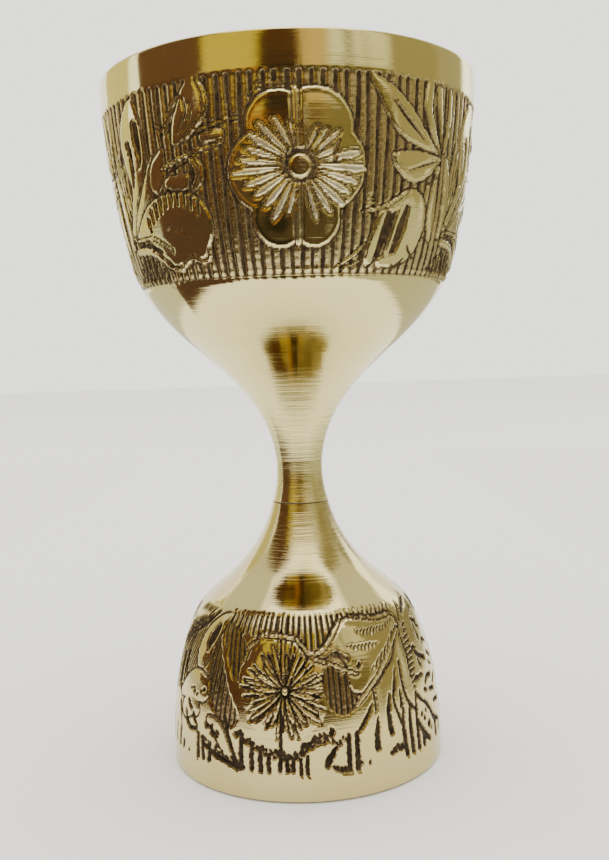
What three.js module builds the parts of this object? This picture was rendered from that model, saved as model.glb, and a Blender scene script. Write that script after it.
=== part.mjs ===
// A waisted, double-ended measuring cup in brass: a large cup stands on a stem, and a small bell-shaped
// cup, upside down, is its foot. Each half is turned from one casting. A short threaded stud screws
// into a blind hole in each and pulls their faces together just below the waist.
// Units are millimetres, +Z is up, and the origin is the centre of the ring that the foot stands on.

import * as THREE from 'three';

// Driving dimensions
const HEIGHT = 104;
const RIM_RADIUS = 28.65;
const SHOULDER = { r: 24.2, z: 75.1 };      // where the large cup turns from its bowl to its wall
const BOWL = { r: 14.0, z: 63.1 };          // where the stem's flare becomes the bowl
const WAIST = { r: 3.6, z: 44.9 };
const SEAM = { r: 4.4, z: 40 };
const DOME = { r: 11.9, z: 28.35 };         // where the lower stem becomes the bell's dome
const BELL_SHOULDER = { r: 17.4, z: 22.8 }; // where the dome turns down into the bell's wall
const FOOT_RADIUS = 21.35;
const FOOT_BAND = 2.6;                      // straight edge above the ground
const WALL = 1.5;
const LIP_ROUND = 0.35;
const CUP_FLOOR = 61;
const BELL_CEILING = 29;

const STUD_RADIUS = 2;
const STUD_ROOT = 1.57;
const STUD_PITCH = 0.7;
const STUD_TURNS = 17;
const HOLE_RADIUS = 2.2;                    // the tapped holes, drawn plain and just clear of the stud
const HOLE_DEPTH = 6.6;
const DRILL_POINT = 1.2;
const SEAM_GAP = 0.04;
const SEAM_CHAMFER = 0.15;

const SEGMENTS = 48;
const STUD_SEGMENTS = 16;

// Outline helpers: every point is (radius, height).
const at = (r, z) => new THREE.Vector2(r, z);

function curve(steps, start, pullStart, pullEnd, end) {
  const bend = new THREE.CubicBezierCurve(at(...start), at(...pullStart), at(...pullEnd), at(...end));
  return bend.getPoints(steps);
}

// A quarter round between two faces that meet at a right angle; angles in quarter turns.
function quarterRound(r, z, radius, fromQuarter) {
  const arc = [];
  for (let step = 0; step <= 3; step++) {
    const angle = (fromQuarter + step / 3) * Math.PI / 2;
    arc.push(at(r + radius * Math.cos(angle), z + radius * Math.sin(angle)));
  }
  return arc;
}

// Turning an outline about +Z. Points that repeat where two stretches join are dropped.
function turn(outline, segments) {
  const points = outline.filter((p, i) => i === 0 || p.distanceTo(outline[i - 1]) > 1e-4);
  return new THREE.LatheGeometry(points, segments).rotateX(Math.PI / 2);
}

function blindHole(mouth, direction) {
  const bottom = mouth + direction * HOLE_DEPTH;
  return [at(0, bottom + direction * DRILL_POINT), at(HOLE_RADIUS, bottom), at(HOLE_RADIUS, mouth)];
}

function upperCup() {
  const face = SEAM.z + SEAM_GAP;
  const rim = HEIGHT - LIP_ROUND;
  const inRim = RIM_RADIUS - WALL;
  const inShoulder = SHOULDER.r - WALL - 0.1;
  return turn([
    ...blindHole(face, 1),
    at(SEAM.r - SEAM_CHAMFER, face),
    ...curve(3, [SEAM.r, face + SEAM_CHAMFER], [3.95, 41.7], [WAIST.r, 43.2], [WAIST.r, WAIST.z]),
    ...curve(9, [WAIST.r, WAIST.z], [WAIST.r, 54.5], [10.7, 59.9], [BOWL.r, BOWL.z]),
    ...curve(5, [BOWL.r, BOWL.z], [14.6, 63.7], [21.6, 68.7], [SHOULDER.r, SHOULDER.z]),
    ...curve(6, [SHOULDER.r, SHOULDER.z], [26.1, 79.8], [RIM_RADIUS, 94.4], [RIM_RADIUS, rim]),
    ...quarterRound(RIM_RADIUS - LIP_ROUND, rim, LIP_ROUND, 0),
    ...quarterRound(inRim + LIP_ROUND, rim, LIP_ROUND, 1),
    ...curve(6, [inRim, rim], [inRim, 94.4], [24.7, 81.2], [inShoulder, 76]),
    ...curve(4, [inShoulder, 76], [21.1, 71.5], [18, 69], [13, 65]),
    ...curve(4, [13, 65], [10.5, 63], [7, CUP_FLOOR], [0, CUP_FLOOR]),
  ], SEGMENTS);
}

function lowerCup() {
  const face = SEAM.z - SEAM_GAP;
  const inFoot = FOOT_RADIUS - WALL;
  const inShoulder = BELL_SHOULDER.r - WALL - 0.3;
  return turn([
    ...curve(4, [0, BELL_CEILING], [5, BELL_CEILING], [9, 28.3], [11.9, 26]),
    ...curve(3, [11.9, 26], [14, 24.3], [15, 23.3], [inShoulder, 21.5]),
    ...curve(5, [inShoulder, 21.5], [18.4, 15.5], [inFoot, 9.7], [inFoot, LIP_ROUND]),
    ...quarterRound(inFoot + LIP_ROUND, LIP_ROUND, LIP_ROUND, 2),
    ...quarterRound(FOOT_RADIUS - LIP_ROUND, LIP_ROUND, LIP_ROUND, 3),
    at(FOOT_RADIUS, FOOT_BAND),
    ...curve(6, [FOOT_RADIUS, FOOT_BAND], [FOOT_RADIUS, 9.7], [20.3, 15.9], [BELL_SHOULDER.r, BELL_SHOULDER.z]),
    ...curve(3, [BELL_SHOULDER.r, BELL_SHOULDER.z], [16.6, 24.7], [14.3, 26.4], [DOME.r, DOME.z]),
    ...curve(6, [DOME.r, DOME.z], [7.3, 32.1], [5.1, 36.9], [SEAM.r, face - SEAM_CHAMFER]),
    at(SEAM.r - SEAM_CHAMFER, face),
    ...blindHole(face, -1).reverse(),
  ], SEGMENTS);
}

// The stud's thread is drawn as plain rings, one for each turn, between chamfered ends.
function joiningStud() {
  const low = SEAM.z - STUD_TURNS * STUD_PITCH / 2;
  const outline = [at(0, low), at(STUD_ROOT - 0.2, low)];
  for (let ring = 0; ring < STUD_TURNS; ring++) {
    const foot = low + ring * STUD_PITCH;
    outline.push(at(STUD_ROOT, foot + 0.1 * STUD_PITCH));
    outline.push(at(STUD_RADIUS, foot + 0.45 * STUD_PITCH));
    outline.push(at(STUD_RADIUS, foot + 0.55 * STUD_PITCH));
    outline.push(at(STUD_ROOT, foot + 0.9 * STUD_PITCH));
  }
  const high = low + STUD_TURNS * STUD_PITCH;
  outline.push(at(STUD_ROOT - 0.2, high), at(0, high));
  return turn(outline, STUD_SEGMENTS);
}

const polishedBrass = { color: 0xc9ae6c, roughness: 0.16, metalness: 1 };
const plainSteel = { color: 0x9a9a98, roughness: 0.4, metalness: 1 };

function piece(name, geometry, finish) {
  const mesh = new THREE.Mesh(geometry, new THREE.MeshStandardMaterial(finish));
  mesh.name = name;
  return mesh;
}

const measure = new THREE.Group();
measure.add(piece('upper_cup', upperCup(), polishedBrass));
measure.add(piece('lower_cup', lowerCup(), polishedBrass));
measure.add(piece('joining_stud', joiningStud(), plainSteel));

export default measure;
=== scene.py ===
# %% [markdown]
# # An engraved brass measure
#
# The object is a double-ended measuring cup: a large cup on a thin stem, and a small bell-shaped cup,
# upside down, as its foot. Both halves are cast in brass, turned on a lathe, polished, and then engraved
# by hand round a wide band. Dark lacquer is rubbed into the cuts and wiped off the polished faces.
# This lesson builds the scene first, then the two turned shapes, then the engraving, then the brass.

# %% Load the measured frame
import math

import bmesh
import bpy
import numpy as np
from mathutils import Matrix, Vector
from mathutils.geometry import interpolate_bezier


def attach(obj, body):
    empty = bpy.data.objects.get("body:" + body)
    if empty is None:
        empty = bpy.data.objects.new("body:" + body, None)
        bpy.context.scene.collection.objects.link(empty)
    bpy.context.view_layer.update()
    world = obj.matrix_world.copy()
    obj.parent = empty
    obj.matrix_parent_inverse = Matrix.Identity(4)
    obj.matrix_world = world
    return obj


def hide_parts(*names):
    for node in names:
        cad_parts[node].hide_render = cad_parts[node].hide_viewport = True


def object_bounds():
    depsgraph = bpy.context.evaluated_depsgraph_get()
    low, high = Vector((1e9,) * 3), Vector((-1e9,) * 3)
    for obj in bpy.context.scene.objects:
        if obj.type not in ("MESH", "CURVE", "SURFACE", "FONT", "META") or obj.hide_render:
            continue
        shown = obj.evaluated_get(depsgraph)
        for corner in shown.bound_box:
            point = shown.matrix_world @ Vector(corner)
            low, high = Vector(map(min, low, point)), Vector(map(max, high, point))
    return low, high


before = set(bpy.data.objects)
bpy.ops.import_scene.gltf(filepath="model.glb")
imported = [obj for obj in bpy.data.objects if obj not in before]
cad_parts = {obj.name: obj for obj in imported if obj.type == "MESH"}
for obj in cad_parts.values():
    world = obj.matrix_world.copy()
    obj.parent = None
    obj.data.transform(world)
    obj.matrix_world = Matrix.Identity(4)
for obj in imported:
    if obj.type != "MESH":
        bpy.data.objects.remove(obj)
cad_box = [list(corner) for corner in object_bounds()]
MM = 0.001
height = cad_box[1][2] / MM
print("the measure stands", round(height, 1), "mm tall")

# %% [markdown]
# ## The camera
#
# A small object is looked at from close by, so perspective is strong: the rim is seen a little from
# below and the foot from above. The camera stands about one and a half heights away, just over
# half way up. Its tilt, turn and roll are small angles, and one matrix holds all three.

# %% Camera
camera_data = bpy.data.cameras.new("camera")
camera_data.lens = 40.3
camera_data.sensor_width = 36
camera = bpy.data.objects.new("camera", camera_data)
bpy.context.collection.objects.link(camera)
bpy.context.scene.camera = camera

camera_back = 1.469 * height
camera_up = 0.590 * height
turn_right, tilt_down, roll_left = math.radians(0.37), math.radians(3.84), math.radians(1.81)
camera.matrix_world = (
    Matrix.Translation((0, -camera_back * MM, camera_up * MM))
    @ Matrix.Rotation(-turn_right, 4, "Z")
    @ Matrix.Rotation(math.radians(90) - tilt_down, 4, "X")
    @ Matrix.Rotation(-roll_left, 4, "Z")
)
print("camera", round(camera_back), "mm from the axis and", round(camera_up), "mm up")

# %% [markdown]
# ## Floor and light
#
# Polished metal shows nothing but its surroundings, so the surroundings are part of the look. A pale
# sheet is the floor, and wide soft lights make the bright sides. A mirror that sees only white looks
# like plaster, so dull cards of many colours stand round the cup, out of view, and low strips lie on
# the table. They stand in for a room, and draw the dark, amber and grey streaks in the brass.

# %% Plain matt sheets
def matt(name, colour, roughness=0.8):
    surface = bpy.data.materials.new(name)
    surface.use_nodes = True
    shader = surface.node_tree.nodes["Principled BSDF"]
    shader.inputs["Base Color"].default_value = (*colour, 1)
    shader.inputs["Roughness"].default_value = roughness
    shader.inputs["Specular IOR Level"].default_value = 0.2
    return surface


def sheet_of(name, width, depth, place, surface):
    mesh = bpy.data.meshes.new(name)
    bm = bmesh.new()
    bmesh.ops.create_grid(bm, x_segments=1, y_segments=1, size=0.5)
    bmesh.ops.scale(bm, vec=(width, depth, 1), verts=bm.verts)
    bmesh.ops.transform(bm, matrix=place, verts=bm.verts)
    bm.to_mesh(mesh)
    bm.free()
    mesh.materials.append(surface)
    sheet = bpy.data.objects.new(name, mesh)
    bpy.context.collection.objects.link(sheet)
    return sheet


# %% Floor
pale_paper = matt("pale_paper", (0.86, 0.85, 0.82))
floor_gap = 0.0002
floor = sheet_of("floor", 6.0, 6.0, Matrix.Translation((0, 0, -floor_gap)), pale_paper)
print("the floor is", round(floor.dimensions.x, 1), "m wide")

# %% World
world = bpy.data.worlds.new("studio")
bpy.context.scene.world = world
world.use_nodes = True
background = world.node_tree.nodes["Background"]
background.inputs["Color"].default_value = (0.93, 0.92, 0.88, 1)
background.inputs["Strength"].default_value = 2.2
print("the sky shines at", round(background.inputs["Strength"].default_value, 1))


# %% Soft lights
def around_cup(azimuth, elevation, distance):
    """A place that faces the middle of the cup; azimuth 0 is the camera's side and 90 the right."""
    turn, rise = math.radians(azimuth), math.radians(elevation)
    outward = Vector((math.sin(turn) * math.cos(rise), -math.cos(turn) * math.cos(rise), math.sin(rise)))
    middle = Vector((0, 0, height / 2 * MM))
    facing = outward.to_track_quat("Z", "Y").to_matrix().to_4x4()
    return Matrix.Translation(middle + outward * distance) @ facing


def soft_light(name, width, depth, power, colour, place):
    light_data = bpy.data.lights.new(name, "AREA")
    light_data.shape = "RECTANGLE"
    light_data.size = width
    light_data.size_y = depth
    light_data.energy = power
    light_data.color = colour
    lamp = bpy.data.objects.new(name, light_data)
    bpy.context.collection.objects.link(lamp)
    lamp.matrix_world = place


soft_light("top_panel", 1.2, 1.2, 4, (1.0, 0.98, 0.94), around_cup(20, 75, 1.3))
soft_light("left_window", 0.5, 0.9, 1.3, (1.0, 0.93, 0.75), around_cup(-125, 30, 1.1))
soft_light("right_window", 0.5, 1.0, 1.6, (0.97, 1.0, 0.93), around_cup(130, 32, 1.2))
print("three soft lights are in place")

# %% [markdown]
# ## Cards for the brass to see
#
# A standing card is given by the directions that it covers, in degrees round and up from the middle of
# the cup, and by its colour. Streaks and low cards stand a little nearer, so that they show in front of
# the wide ones. A strip on the table is given by its edges, in metres. Painted marks on the brass would
# stay put when the viewer moves; these reflections slide over the curves as real ones do.

# %% Cards
card_distance = 0.6
nearest_cards = ("grey_streak", "thin_streak", "black_front")


def dull_card(name, width, depth, colour, place):
    """A card that only reflections see: it casts no shadow and tints nothing."""
    card = sheet_of(name, width, depth, place, matt(name, colour))
    card.visible_camera = False
    card.visible_shadow = False
    card.visible_diffuse = False


for name, left, right, low, high, colour in (
        ("brown_left", -93, -47, -4, 60, (0.085, 0.042, 0.024)),
        ("yellow_left", -47, -15, 8, 42, (0.42, 0.34, 0.05)),
        ("maroon_low", -104, -24, -7, 8.5, (0.07, 0.03, 0.018)),
        ("orange_low", -26, -13, -7, 8.5, (0.26, 0.12, 0.02)),
        ("brown_front", -15, 8, -9, 40, (0.055, 0.022, 0.007)),
        ("black_front", -16, 6, 6.4, 13.6, (0.010, 0.010, 0.008)),
        ("amber_front", 8, 23, 3, 44, (0.42, 0.31, 0.13)),
        ("pale_right", 23, 60, 12, 45, (0.58, 0.57, 0.45)),
        ("grey_streak", 33, 36, 10, 48, (0.12, 0.10, 0.06)),
        ("thin_streak", 44, 45, 10, 40, (0.13, 0.11, 0.06)),
        ("dark_low", 9, 20, -7, 7.6, (0.06, 0.042, 0.02)),
        ("olive_low", 20, 60, -7, 12.5, (0.14, 0.115, 0.052)),
        ("olive_right", 60, 97, -4, 60, (0.24, 0.215, 0.125)),
        ("cream_right", 97, 125, 12, 32, (0.28, 0.26, 0.18)),
        ("sky_left", -165, -93, 30, 64, (0.58, 0.58, 0.52)),
        ("sky_right", 97, 165, 32, 64, (0.58, 0.58, 0.52)),
        ("shade_low_right", 97, 150, -7, 12, (0.2, 0.18, 0.12)),
        ("yellow_far_left", -135, -104, -7, 30, (0.50, 0.46, 0.22))):
    width = 2 * card_distance * math.tan(math.radians(right - left) / 2)
    depth = 2 * card_distance * math.tan(math.radians(high - low) / 2)
    distance = card_distance - 0.02 * (name in nearest_cards) - 0.01 * name.endswith("_low")
    dull_card(name, width, depth, colour, around_cup((left + right) / 2, (low + high) / 2, distance))

# %% Strips on the table
strips = (("table_edge", -0.8, 0.8, -1.4, -0.135, (0.045, 0.027, 0.012)),
          ("table_left", -0.7, -0.088, -0.19, 0.03, (0.05, 0.022, 0.014)),
          ("grey_left", -0.7, -0.105, 0.03, 0.5, (0.42, 0.43, 0.38)),
          ("grey_right", 0.09, 0.7, -0.19, 0.5, (0.35, 0.345, 0.27)),
          ("table_dark", -0.10, -0.008, -0.62, -0.19, (0.006, 0.005, 0.004)))
strip_lift = 0.0005
for rank, (name, left, right, near, far, colour) in enumerate(strips, start=1):
    place = Matrix.Translation(((left + right) / 2, (near + far) / 2, strip_lift * rank))
    dull_card(name, right - left, far - near, colour, place)
print("the cards and", len(strips), "strips are in place")

# %% [markdown]
# ## The outlines
#
# A turned shape is one outline swept round an axis, so the outline is all that a lathe needs. Each
# stretch is a smooth curve between two places where the form changes, such as waist, bowl, shoulder and
# rim. All sizes are millimetres: first the radius, then the height above the ground.

# %% Outlines of the two halves
rim_radius = cad_box[1][0] / MM
shoulder = (24.2, 75.1)
bowl = (14.0, 63.1)
waist = (3.6, 44.9)
seam = (4.4, 40.0)
dome = (11.9, 28.35)
bell_shoulder = (17.4, 22.8)
foot_radius = 21.35
foot_band = 2.6
wall = 1.5
lip = 0.35
cup_floor = 61.0
bell_ceiling = 29.0
half_gap = 0.04
deepest_cut = 0.6
print("rim", round(2 * rim_radius, 1), "mm, waist", 2 * waist[0], "mm, foot", 2 * foot_radius, "mm across")


def stretch(rows, start, pull_start, pull_end, end):
    """Points from start to end along a curve, without the last one, which the next stretch brings."""
    knots = [Vector((r, z, 0)) for r, z in (start, pull_start, pull_end, end)]
    return [(p.x, p.y) for p in interpolate_bezier(*knots, rows + 1)[:-1]]


def lip_round(r, z, from_quarter, steps=5):
    """A quarter turn of the lip's small radius about (r, z), counted from straight outwards."""
    turns = [(from_quarter + step / steps) * math.pi / 2 for step in range(steps + 1)]
    return [(r + lip * math.cos(turn), z + lip * math.sin(turn)) for turn in turns]


# %% From the seam to the rim
rim_start = (rim_radius, height - lip)
upper_side = (
    stretch(16, seam, (3.95, 41.7), (waist[0], 43.2), waist)
    + stretch(60, waist, (waist[0], 54.5), (10.7, 59.9), bowl)
    + stretch(40, bowl, (14.6, 63.7), (21.6, 68.7), shoulder)
    + stretch(90, shoulder, (26.1, 79.8), (rim_radius, 94.4), rim_start)
    + [rim_start]
)
print(len(upper_side), "points from the seam to the rim")

# %% From the foot to the seam
lower_side = (
    [(foot_radius, 0), (foot_radius, foot_band)]
    + stretch(60, (foot_radius, foot_band), (foot_radius, 9.7), (20.3, 15.9), bell_shoulder)[1:]
    + stretch(16, bell_shoulder, (16.6, 24.7), (14.3, 26.4), dome)
    + stretch(40, dome, (7.3, 32.1), (5.1, 36.9), seam)
    + [seam]
)
print(len(lower_side), "points from the foot to the seam")

# %% [markdown]
# ## Turning a half on the lathe
#
# The spin operator sweeps the outline round the axis, as the lathe turns the casting. The engraved band
# needs far more points than the plain parts, so only its faces are subdivided afterwards, and then every
# outer point is put back on the true curve, because subdividing alone leaves flats between points.
# These tools leave the points in another order on every run. The graver's small wavers are drawn point by
# point, so the points are numbered by their place, and the same wavers then land on the same metal.

# %% The outer curves as numbers that can be looked up
def lookup(points):
    """A function that gives the radius at any height on the outside."""
    radii = np.array([r for r, z in points])
    heights = np.array([z for r, z in points])
    order = np.argsort(heights, kind="stable")
    return lambda z: np.interp(z, heights[order], radii[order])


upper_radius = lookup(upper_side)
lower_radius = lookup(lower_side)
print("half way up the large cup the radius is", round(float(upper_radius(87)), 2), "mm")


def rows(low, high, spacing):
    """Evenly spaced heights, without the last one."""
    return list(np.linspace(low, high, max(2, round((high - low) / spacing)) + 1)[:-1])


# %% The lathe
FINER = 4


def spin_outline(bm, outline, segments):
    """Sweeps (radius, height) points in mm about the axis and leaves one closed skin."""
    points = [bm.verts.new((r * MM, 0, z * MM)) for r, z in outline]
    edges = [bm.edges.new(pair) for pair in zip(points, points[1:])]
    bmesh.ops.spin(bm, geom=points + edges, cent=(0, 0, 0), axis=(0, 0, 1), angle=math.tau,
                   steps=segments, use_merge=True)
    bmesh.ops.remove_doubles(bm, verts=bm.verts, dist=0.004 * MM)
    bmesh.ops.recalc_face_normals(bm, faces=bm.faces)


def refine_band(bm, band, outside):
    low, high = band
    margin = 0.05

    def on_band(face):
        spots = [(math.hypot(v.co.x, v.co.y) / MM, v.co.z / MM) for v in face.verts]
        return all(low - margin < z < high + margin and r > outside(z) - 0.5 for r, z in spots)

    edges = dict.fromkeys(edge for face in bm.faces if on_band(face) for edge in face.edges)
    bmesh.ops.subdivide_edges(bm, edges=list(edges), cuts=FINER - 1, use_grid_fill=True)


def place_number(spot, half_steps):
    """One number for a place: its angle in half steps of the mesh, then its height, then its radius."""
    x, y, z = (size / MM for size in spot)
    radius = math.hypot(x, y)
    on_axis = radius < 0.01
    turned = 0 if on_axis else round(half_steps * math.atan2(y, x) / math.tau) % half_steps
    height_number = round(z / 0.02)
    radius_number = round(radius / 0.05)
    return (turned * 10000 + height_number) * 1000 + radius_number


def put_in_order(bm, segments):
    """Numbers points and faces by their place, so that every run makes the same mesh."""
    half_steps = 2 * FINER * segments
    bm.verts.sort(key=lambda vert: place_number(vert.co, half_steps))
    bm.faces.sort(key=lambda face: place_number(face.calc_center_median(), half_steps))


def turned_half(name, outline, segments, band, outside):
    bm = bmesh.new()
    spin_outline(bm, outline, segments)
    refine_band(bm, band, outside)
    put_in_order(bm, segments)
    mesh = bpy.data.meshes.new(name)
    bm.to_mesh(mesh)
    bm.free()
    mesh.shade_smooth()
    half = bpy.data.objects.new(name, mesh)
    bpy.context.collection.objects.link(half)
    print(name, sum(len(p.vertices) - 2 for p in mesh.polygons), "triangles")
    return half

# %% [markdown]
# ## How the engraver works, in numbers
#
# The band is thought of as a sheet laid flat: degrees round the cup across, millimetres up. Every mark
# is a stroke, which is a line with a width that changes along it: a leaf is a fat stroke, a slot a
# thin one, and a single spot is a disc. How far each point of the metal lies from a stroke then
# says whether it is cut, left alone or raised, and the strokes are laid on in the order of the work.

# %% A stroke, and its soft edge
def smooth_line(spine, steps=5):
    """A curve through every knot of (angle, height, half width), by the Catmull-Rom rule."""
    if len(spine) < 3:
        return spine
    knots = np.array([spine[0], *spine, spine[-1]], dtype=float)
    curve = []
    for a, b, c, d in zip(knots, knots[1:], knots[2:], knots[3:]):
        for t in np.arange(steps) / steps:
            curve.append(0.5 * (2 * b + (c - a) * t + (2 * a - 5 * b + 4 * c - d) * t ** 2
                                + (3 * b - a - 3 * c + d) * t ** 3))
    return curve + [knots[-1]]


def step_down(distance, soft):
    """1 well inside, 0 well outside, and a smooth edge of the given softness between."""
    t = np.clip(0.5 - distance / (2 * soft), 0, 1)
    return t * t * (3 - 2 * t)


print("across a stroke's edge:", [round(float(step_down(x, 0.1)), 2) for x in (-0.1, -0.05, 0, 0.05, 0.1)])


# %% The metal under the graver
class Band:
    """The metal of one band, as three sheets of numbers that cover every point of it.

    face is the polished surface with its crowned leaves, in mm above the turned form,
    level is the same surface after every cut, and stain is the lacquer left, from 0 to 1;
    below 0 the graver has gone over the metal once more and left it bright and grainy, and there
    the brass colour is mixed toward pale cream as a painted sheen.
    """

    def __init__(self, angles, heights, radius, waver):
        self.angles = angles
        self.heights = heights
        drift = np.sin(angles * 1.9 + 3 * np.sin(heights * 1.3)) * np.sin(heights * 5.3 + angles * 0.7)
        shake = np.random.default_rng(8).uniform(-0.3, 0.3, angles.shape)
        self.waver = waver * (drift + shake)
        self.mm_per_degree = math.radians(radius)
        self.face = np.zeros_like(angles)
        self.level = np.zeros_like(angles)
        self.stain = np.zeros_like(angles)
        self.turn = 0
        self.lean = 1

    def across(self):
        """Degrees from the middle of the pattern that is being cut, from -180 to 180."""
        return (self.angles - self.turn + 180) % 360 - 180

    def reach(self, spine, margin=0.8):
        """Which points a stroke can touch, and how far each lies outside it, in mm."""
        line = np.array(smooth_line(spine), dtype=float)
        line[:, 0] *= self.mm_per_degree
        span = line[:, 2].max() + margin
        x = self.across() * self.mm_per_degree
        near = ((x > line[:, 0].min() - span) & (x < line[:, 0].max() + span)
                & (self.heights > line[:, 1].min() - span) & (self.heights < line[:, 1].max() + span))
        x, y = x[near], self.heights[near]
        if len(line) == 1:
            line = np.vstack([line, line + 1e-6])
        distance = np.full(x.shape, 99.0)
        for (x0, y0, w0), (x1, y1, w1) in zip(line, line[1:]):
            dx, dy = x1 - x0, y1 - y0
            t = np.clip(((x - x0) * dx + (y - y0) * dy) / (dx * dx + dy * dy + 1e-12), 0, 1)
            outside = np.hypot(x - x0 - t * dx, y - y0 - t * dy) - (w0 + t * (w1 - w0))
            distance = np.minimum(distance, outside)
        return near, distance + self.waver[near]


def trial_metal():
    """Five points in a row, 1 degree apart, to try a tool on."""
    return Band(np.arange(5.0), np.full(5, 80.0), radius=27, waver=0.0)


spot = [(0, 80, 0.5)]
print("points 1 degree apart lie", np.round(trial_metal().reach(spot)[1], 2), "mm outside a spot")


# %% [markdown]
# ## Metal left standing, and cuts
#
# A leaf is metal that the graver went round: it keeps its height, swells slightly towards its middle,
# and has a dark ditch for an outline. A cut is the other way about. Lacquer fills whatever is deep, so
# each tool also says how dark it leaves the metal. Working on numbers instead of on faces lets two
# strokes cross at any angle without a single bad face.

# %% Leaves and films
def darker(stain, added):
    """The darker of two stains; where none is added, freshly cut metal keeps its painted sheen."""
    return np.where(added > 0.01, np.maximum(stain, added), stain)


def leave(work, *spines, crown=0.0, edge=0.0, ditch=0.3):
    """Metal left standing at its polished height inside the strokes, with a ditch cut round it."""
    whole = np.full(work.angles.shape, 99.0)
    for spine in spines:
        near, distance = work.reach(spine, margin=1.2)
        whole[near] = np.minimum(whole[near], distance)
    inside = step_down(whole, 0.14)
    top = crown * np.clip(-whole / 2.5, 0, 1) ** 0.7 + edge * np.exp(-((whole + 0.25) / 0.2) ** 2)
    beside = np.exp(-((whole - 0.24) / 0.2) ** 2) * (whole > -0.05)
    work.face = work.face * (1 - inside) + top * inside
    work.level = np.minimum(work.level, 0.1 - ditch * beside) * (1 - inside) + top * inside
    work.stain = darker(work.stain, min(1, 3 * ditch) * beside) * (1 - inside)


def tint(work, region, amount):
    """A film of lacquer left on the plain face."""
    near, distance = work.reach(region)
    work.stain[near] = darker(work.stain[near], amount * step_down(distance, 0.8))


# %% Cuts, hatching and punched dots
def cut(work, *spines, depth=0.4, ripple=0.0):
    """A slot or a line cut with the graver; a ripple shows where it was chased across."""
    for spine in spines:
        near, distance = work.reach(spine)
        floor = -depth + ripple * np.sin(work.heights[near] * 13 + work.across()[near] * 1.7)
        share = step_down(distance, 0.13)
        filled = min(1, 3 * depth) * step_down(distance - 0.04, 0.12)
        work.level[near] = work.level[near] * (1 - share) + np.minimum(work.level[near], floor) * share
        work.stain[near] = darker(work.stain[near], filled)


def hatch(work, region, direction, pitch=0.8, depth=0.34):
    """Parallel cuts across a region; direction is degrees from level."""
    near, distance = work.reach(region)
    turn = math.radians(direction)
    x = work.across()[near] * work.mm_per_degree
    along = (work.heights[near] * math.cos(turn) - x * math.sin(turn)) / pitch
    grooves = np.clip(1.25 * np.abs(np.sin(math.pi * along)), 0, 1)
    share = step_down(distance, 0.12)
    work.level[near] = work.level[near] * (1 - share) + (-depth + (depth - 0.04) * grooves) * share
    work.stain[near] = work.stain[near] * (1 - share) + np.clip(1.4 - 1.3 * grooves, 0.15, 1) * share


def stipple(work, region, spacing=0.55, depth=0.36, seed=3):
    """Punched dots and short dashes, crowded along a stroke."""
    chance = np.random.default_rng(seed)
    for angle, up, half in np.array(smooth_line(region), dtype=float):
        for _ in range(max(1, round(2.2 * half / spacing))):
            across = angle + chance.uniform(-1, 1) * half / work.mm_per_degree
            low = up + chance.uniform(-1, 1) * half
            slant = chance.uniform(-0.4, 0.4) / work.mm_per_degree * 0.6
            size = chance.uniform(0.12, 0.24)
            cut(work, [(across, low, size), (across + slant, low + 0.3, size * 0.7)], depth=depth)


trial = trial_metal()
cut(trial, spot)
print("a cut leaves those points at", np.round(trial.level, 2), "mm, stained", np.round(trial.stain, 2))


# %% [markdown]
# ## Ridges, petals and flutes
#
# A ridge is what stays between two close cuts, so it is fine and has a dark line on both sides. A petal
# is a short ridge that tapers. Flutes are ridges side by side, from a round-nosed tool: each has its own
# weight, some are split down the middle, and faint chatter crosses them where the tool skipped.

# %% Ridges and petals
def lift(work, near, distance, rise, beside, film=0.05):
    """Puts a ridge on the polished face, with a dark cut line on both sides of it."""
    shadow = beside * np.exp(-((distance - 0.16) / 0.12) ** 2)
    share = step_down(distance, 0.1)
    lowered = work.level[near] - 0.28 * shadow
    work.level[near] = lowered * (1 - share) + (work.face[near] + rise) * share
    work.stain[near] = darker(work.stain[near], shadow) * (1 - share) + film * share


def raise_line(work, *spines, tall=0.16, beads=0.0, pitch=0.55, film=0.05):
    """A fine ridge, plain or beaded."""
    for spine in spines:
        near, distance = work.reach(spine)
        along = (work.heights[near] + 0.35 * work.across()[near]) / pitch
        bead = 1 + beads * np.sin(along * math.tau)
        lift(work, near, distance, (tall + 0.12) * bead, 0.9, film)


def petal(work, centre, direction, inner, outer, half_width, tall=0.3, beside=1.0, film=0.05):
    """A pointed stroke that radiates from a flower's centre."""
    turn = math.radians(direction)
    spine = []
    for share, width in ((0, 0.3), (0.35, 0.8), (0.7, 1.0), (0.9, 0.6), (1, 0.05)):
        along = inner + (outer - inner) * share
        spine.append((centre[0] + along * math.cos(turn) / work.mm_per_degree,
                      centre[1] + along * math.sin(turn), half_width * width))
    near, distance = work.reach(spine)
    lift(work, near, distance, tall * np.clip(-distance / half_width, 0, 1), beside, film)


def rays(work, centre, count, inner, outer, half_width, depth=0.36, seed=4):
    """Wedge-shaped cuts round a centre; the metal left between them reads as petals."""
    chance = np.random.default_rng(seed)
    for ray in range(count):
        turn = math.tau * (ray + chance.uniform(-0.3, 0.3)) / count
        end = outer * chance.uniform(0.72, 1.2)
        spine = []
        for share, width in ((0, 0.15), (0.45, 0.5), (0.85, 1.0), (1, 0.6)):
            along = inner + (end - inner) * share
            spine.append((centre[0] + along * math.cos(turn) / work.mm_per_degree,
                          centre[1] + along * math.sin(turn),
                          half_width * width * chance.uniform(0.55, 1.4)))
        cut(work, spine, depth=depth)


trial = trial_metal()
raise_line(trial, spot)
print("a ridge leaves them at", np.round(trial.level, 2), "mm, stained", np.round(trial.stain, 2))


# %% Flutes
flute_pitch = 3.16
print("a flute is", round(flute_pitch * math.radians(27), 2), "mm wide on the large cup")


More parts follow.
